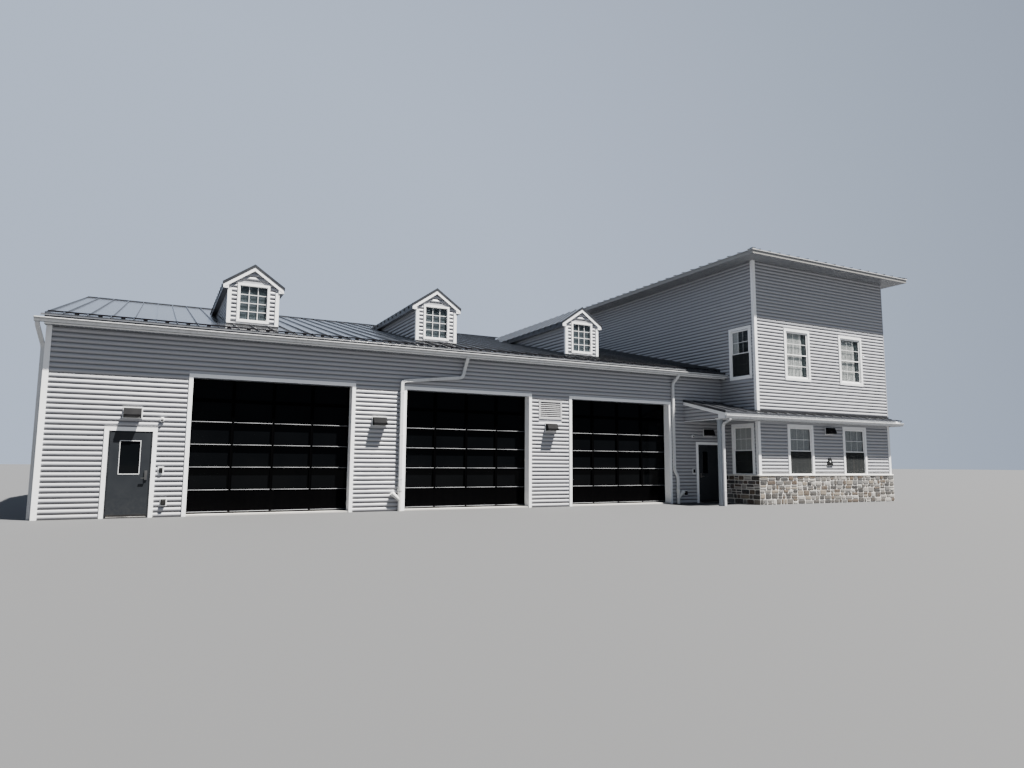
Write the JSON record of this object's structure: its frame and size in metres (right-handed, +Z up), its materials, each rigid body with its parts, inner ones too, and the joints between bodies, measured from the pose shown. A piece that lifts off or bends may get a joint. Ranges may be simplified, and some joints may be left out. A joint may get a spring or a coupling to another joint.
{
  "type": "fire station building",
  "caption": "Fire station with a one-storey vehicle hall of sectional doors and dormers, a two-storey hipped wing and a corner porch, clad in grey lap siding.",
  "frame": {"origin": "centre of the footprint box at ground level", "axes": "+X along the front towards the two-storey wing, +Y from the front into the building, +Z up"},
  "size_m": [30.605, 24.6, 10.4218],
  "materials": {
    "siding": "light grey embossed vinyl lap siding, slightly dusty towards the ground",
    "trim": "white factory-coated coil trim with a low sheen",
    "roof_metal": "dark grey coated steel standing-seam sheets, satin",
    "gutter_metal": "white coated aluminium with faint run-off streaks",
    "rail_metal": "dark grey coated aluminium",
    "drain_plastic": "white plastic drain pipe, soiled at the ground",
    "window_frame": "white moulded window frames",
    "window_glass": "clear double glazing with dark rooms behind",
    "door_metal": "black anodised-look aluminium, satin",
    "door_glass": "dark tinted glazing",
    "leaf_paint": "slate blue-grey semi-gloss paint on steel",
    "leaf_glass": "clear glazing in a metal frame",
    "lock_metal": "satin stainless steel",
    "field_stone": "mixed grey, tan and brown field stone with pale mortar",
    "cap_stone": "cast grey-tan sill stone",
    "concrete": "trowelled concrete",
    "light_body": "dark bronze textured powder coat with a clear lens below",
    "louvre_paint": "light grey coated aluminium louvre",
    "box_plastic": "grey and black plastic housings"
  },
  "bodies": {
    "building": {"ground_floors": "concrete", "upper_floor": "concrete", "hall_front_piers": "siding", "hall_front_header": "siding", "hall_over_doors": "siding", "hall_left_wall": "siding", "hall_back_wall": "siding", "wing_front_wall": "siding", "wing_left_wall": "siding", "wing_right_wall": "siding", "wing_back_wall": "siding", "hall_roof_front": "roof_metal", "hall_roof_back": "roof_metal", "ridge_cap": "roof_metal", "hall_eaves": "trim", "hall_gutters": "gutter_metal", "hall_downspouts": "gutter_metal", "drain_boots": "drain_plastic", "snow_rail": "rail_metal", "dormer_fronts": "siding", "dormer_cheeks": "siding", "dormer_roofs": "roof_metal", "dormer_trim": "trim", "dormer_windows": "window_frame", "bay_door_1": "door_metal", "bay_door_2": "door_metal", "bay_door_3": "door_metal", "bay_door_glass": "door_glass", "bay_door_trim": "trim", "door_frames": "leaf_paint", "door_trim": "trim", "wing_ceiling": "trim", "wing_roof": "roof_metal", "wing_caps": "roof_metal", "corner_boards": "trim", "stone_base": "field_stone", "stone_cap": "cap_stone", "window_trim": "trim", "wing_windows": "window_frame", "window_glass": "window_glass", "pent_roof": "roof_metal", "pent_eaves": "trim", "pent_gutter": "gutter_metal", "porch_beams": "trim", "porch_gable": "siding", "porch_post": "trim", "wall_lights": "light_body", "louvre_vent": "louvre_paint", "wall_boxes": "box_plastic"},
    "side_door": {"side_door_leaf": "leaf_paint", "side_door_glass": "leaf_glass", "side_door_lock": "lock_metal"},
    "entrance_door": {"entrance_leaf": "leaf_paint", "entrance_glass": "leaf_glass", "entrance_lock": "lock_metal"}
  },
  "joints": [
    {"name": "side_door_hinge", "type": "hinge", "parent": "building", "child": "side_door", "pos_m": [-13.542, -9.7865, 1], "axis": [0, 0, -1], "range_deg": [0, 110]},
    {"name": "entrance_hinge", "type": "hinge", "parent": "building", "child": "entrance_door", "pos_m": [6.782, -9.7865, 1], "axis": [0, 0, 1], "range_deg": [0, 90]}
  ]
}
